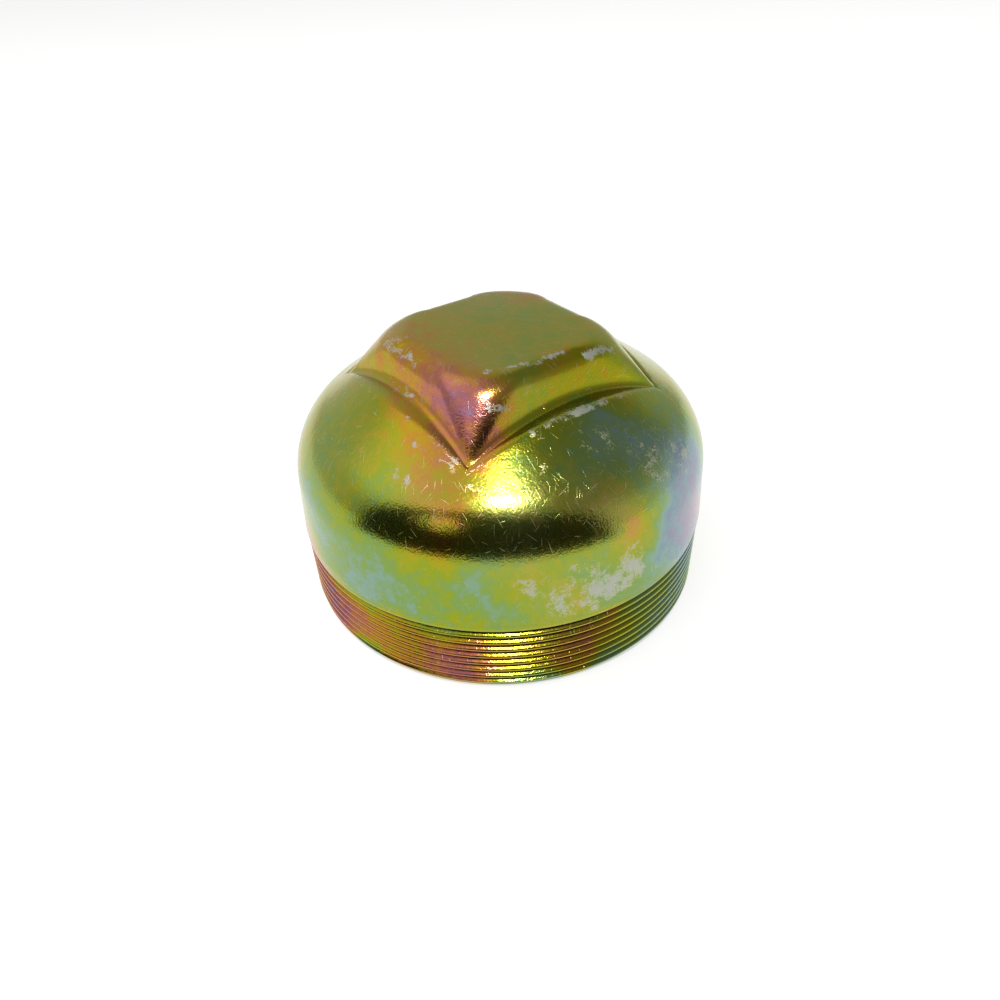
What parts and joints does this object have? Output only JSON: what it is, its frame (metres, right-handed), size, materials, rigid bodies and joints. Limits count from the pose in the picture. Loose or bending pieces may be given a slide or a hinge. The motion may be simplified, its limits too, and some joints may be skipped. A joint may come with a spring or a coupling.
{
  "type": "hub cap",
  "caption": "Round pressed-steel hub cap with a square wrench head on its domed crown, an open underside and an external thread round its foot.",
  "frame": {"origin": "on the axis of the cap, in the plane of its open rim", "axes": "+Z along the axis from the open rim to the square head; X and Y square to the flats of the head"},
  "size_m": [0.0954, 0.0954, 0.0604],
  "materials": {
    "zinc_plated_steel": "zinc plated with a yellow iridescent chromate film"
  },
  "bodies": {
    "root": {"hub_cap": "zinc_plated_steel"}
  },
  "joints": []
}
